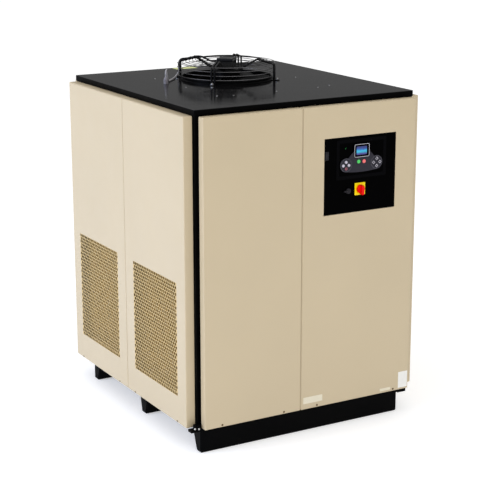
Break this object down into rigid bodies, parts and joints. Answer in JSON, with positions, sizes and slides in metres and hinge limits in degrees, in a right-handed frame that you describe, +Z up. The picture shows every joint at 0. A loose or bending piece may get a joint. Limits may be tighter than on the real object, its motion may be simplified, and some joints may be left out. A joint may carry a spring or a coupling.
{
  "type": "refrigerated air dryer",
  "caption": "Floor-standing refrigerated compressed-air dryer cabinet with a guarded roof fan, side intake grilles, hinged control door, flanged rear air pipes and channel skids.",
  "frame": {"origin": "on the floor, under the middle of the cabinet's outer box", "axes": "+Z up, the front with the control door faces -Y, +X to the right as seen from the front"},
  "size_m": [1.307, 1.484, 1.7649],
  "materials": {
    "cream_paint": "fine powder coat, satin",
    "black_paint": "satin black paint",
    "roof_paint": "semi-gloss black powder coat",
    "black_gloss": "gloss black fascia",
    "black_wire": "black powder-coated wire",
    "black_plastic": "matte moulded plastic",
    "grey_plastic": "dark grey moulded plastic",
    "grey_cable": "grey cable sheath and gland",
    "light_key": "light grey key",
    "dark_red_key": "dark red key",
    "green_key": "green key",
    "red_key": "pale red key",
    "yellow_plastic": "yellow switch plate",
    "red_plastic": "red switch knob",
    "display_glass": "lit display behind a clear cover",
    "galvanised_steel": "galvanised sheet",
    "pipe_steel": "machined and rolled steel",
    "copper": "drawn copper tube",
    "brass": "turned brass",
    "aluminium_fins": "stacked aluminium fins",
    "foam_insulation": "closed-cell foam skin",
    "red_grip": "dipped vinyl lever"
  },
  "bodies": {
    "cabinet": {"base_pan": "black_paint", "skid_front": "black_paint", "skid_middle": "black_paint", "skid_rear": "black_paint", "post_front_left": "black_paint", "post_front_right": "black_paint", "post_rear_left": "black_paint", "post_rear_right": "black_paint", "roof_panel": "roof_paint", "front_panel_left": "cream_paint", "front_panel_right": "cream_paint", "rear_panel_left": "cream_paint", "rear_panel_right": "cream_paint", "side_panel_left_front": "cream_paint", "side_panel_left_rear": "cream_paint", "side_panel_right_front": "cream_paint", "side_panel_right_rear": "cream_paint", "fan_shroud": "black_paint", "fan_guard": "black_wire", "fan_motor": "black_paint", "fan_terminal_box": "black_plastic", "roof_gland": "grey_cable", "fan_cable": "grey_cable", "electrical_box": "galvanised_steel", "compressor": "black_paint", "heat_exchanger": "foam_insulation", "moisture_separator": "pipe_steel", "condenser_left": "aluminium_fins", "condenser_right": "aluminium_fins", "air_inlet_pipe": "pipe_steel", "air_outlet_pipe": "pipe_steel", "liquid_receiver": "black_paint", "discharge_line": "copper", "suction_line": "copper", "liquid_line": "copper", "drain_line": "copper", "drain_valve": "brass", "power_gland": "grey_cable"},
    "fan_rotor": {"fan_impeller": "black_paint"},
    "door": {"control_door": "black_gloss", "controller_plate": "black_plastic", "controller_housing": "grey_plastic", "display_lens": "display_glass", "switch_plate": "yellow_plastic", "main_switch": "black_plastic"},
    "main_switch_knob": {"switch_knob": "red_plastic"},
    "selector": {"selector_knob": "black_plastic"},
    "latch": {"latch_flap": "grey_plastic"},
    "drain_handle": {"drain_lever": "red_grip"},
    "start_button_cap": {"start_button": "green_key"},
    "stop_button_cap": {"stop_button": "red_key"},
    "function_key_top_cap": {"function_key_top": "light_key"},
    "function_key_left_cap": {"function_key_left": "light_key"},
    "function_key_right_cap": {"function_key_right": "light_key"},
    "function_key_bottom_cap": {"function_key_bottom": "dark_red_key"},
    "arrow_key_up_cap": {"arrow_key_up": "grey_plastic"},
    "arrow_key_left_cap": {"arrow_key_left": "grey_plastic"},
    "arrow_key_right_cap": {"arrow_key_right": "grey_plastic"},
    "arrow_key_down_cap": {"arrow_key_down": "grey_plastic"}
  },
  "joints": [
    {"name": "fan_spin", "type": "hinge", "parent": "cabinet", "child": "fan_rotor", "pos_m": [0.015, 0.148, 1.65], "axis": [0, 0, 1], "continuous": true},
    {"name": "door_swing", "type": "hinge", "parent": "cabinet", "child": "door", "pos_m": [0.4735, -0.7085, 1.277], "axis": [0, 0, 1], "range_deg": [0, 110]},
    {"name": "main_switch_turn", "type": "hinge", "parent": "door", "child": "main_switch_knob", "pos_m": [0.2685, -0.72, 1.2035], "axis": [0, -1, 0], "range_deg": [0, 90]},
    {"name": "selector_turn", "type": "hinge", "parent": "door", "child": "selector", "pos_m": [0.2005, -0.715, 1.199], "axis": [0, -1, 0], "range_deg": [0, 90]},
    {"name": "latch_tip", "type": "hinge", "parent": "door", "child": "latch", "pos_m": [0.088, -0.7075, 1.38], "axis": [0, 0, 1], "range_deg": [0, 40], "stiffness_Nm_per_rad": 0.02},
    {"name": "drain_valve_turn", "type": "hinge", "parent": "cabinet", "child": "drain_handle", "pos_m": [0.45, 0.72615, 0.24], "axis": [0, 0, 1], "range_deg": [0, 90]},
    {"name": "start_button_press", "type": "slide", "parent": "door", "child": "start_button_cap", "axis": [0, 1, 0], "range_m": [0, 0.001], "stiffness_N_per_m": 300},
    {"name": "stop_button_press", "type": "slide", "parent": "door", "child": "stop_button_cap", "axis": [0, 1, 0], "range_m": [0, 0.001], "stiffness_N_per_m": 300},
    {"name": "function_key_top_press", "type": "slide", "parent": "door", "child": "function_key_top_cap", "axis": [0, 1, 0], "range_m": [0, 0.001], "stiffness_N_per_m": 300},
    {"name": "function_key_left_press", "type": "slide", "parent": "door", "child": "function_key_left_cap", "axis": [0, 1, 0], "range_m": [0, 0.001], "stiffness_N_per_m": 300},
    {"name": "function_key_right_press", "type": "slide", "parent": "door", "child": "function_key_right_cap", "axis": [0, 1, 0], "range_m": [0, 0.001], "stiffness_N_per_m": 300},
    {"name": "function_key_bottom_press", "type": "slide", "parent": "door", "child": "function_key_bottom_cap", "axis": [0, 1, 0], "range_m": [0, 0.001], "stiffness_N_per_m": 300},
    {"name": "arrow_key_up_press", "type": "slide", "parent": "door", "child": "arrow_key_up_cap", "axis": [0, 1, 0], "range_m": [0, 0.001], "stiffness_N_per_m": 300},
    {"name": "arrow_key_left_press", "type": "slide", "parent": "door", "child": "arrow_key_left_cap", "axis": [0, 1, 0], "range_m": [0, 0.001], "stiffness_N_per_m": 300},
    {"name": "arrow_key_right_press", "type": "slide", "parent": "door", "child": "arrow_key_right_cap", "axis": [0, 1, 0], "range_m": [0, 0.001], "stiffness_N_per_m": 300},
    {"name": "arrow_key_down_press", "type": "slide", "parent": "door", "child": "arrow_key_down_cap", "axis": [0, 1, 0], "range_m": [0, 0.001], "stiffness_N_per_m": 300}
  ]
}
